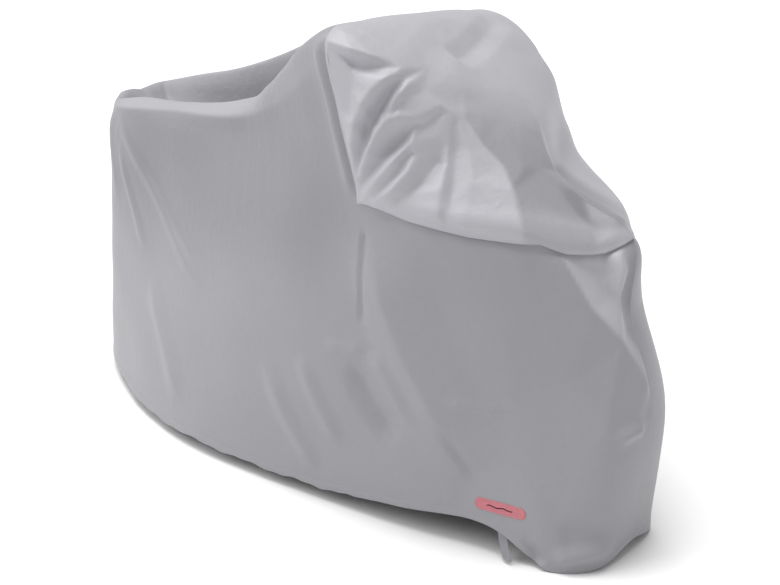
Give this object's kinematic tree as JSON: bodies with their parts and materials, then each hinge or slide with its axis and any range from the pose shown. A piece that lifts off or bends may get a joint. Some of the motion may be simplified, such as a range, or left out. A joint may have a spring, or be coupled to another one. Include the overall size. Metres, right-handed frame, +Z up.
{
  "type": "motorcycle cover",
  "caption": "Fitted cloth cover that hangs over a parked motorcycle, with a hood panel over the handlebar, an oval lock eyelet low at the front and a webbing strap at the hem.",
  "frame": {"origin": "under the cloth at the top of the hood, in the middle of the handlebar that carries the cover", "axes": "+X towards the front wheel, -Y towards the side with the lock eyelet, +Z up"},
  "size_m": [2.0609, 0.8974, 1.2551],
  "materials": {
    "cover_cloth": "thin coated polyester, silver grey, soft sheen",
    "hood_cloth": "thin coated polyester, silver grey, soft sheen",
    "eyelet_red": "matt soft plastic, faded red",
    "strap_webbing": "flat woven webbing, grey"
  },
  "bodies": {
    "root": {"side_panel_near": "cover_cloth", "side_panel_far": "cover_cloth", "hood_panel": "hood_cloth", "lock_eyelet": "eyelet_red", "hem_strap": "strap_webbing"}
  },
  "joints": []
}
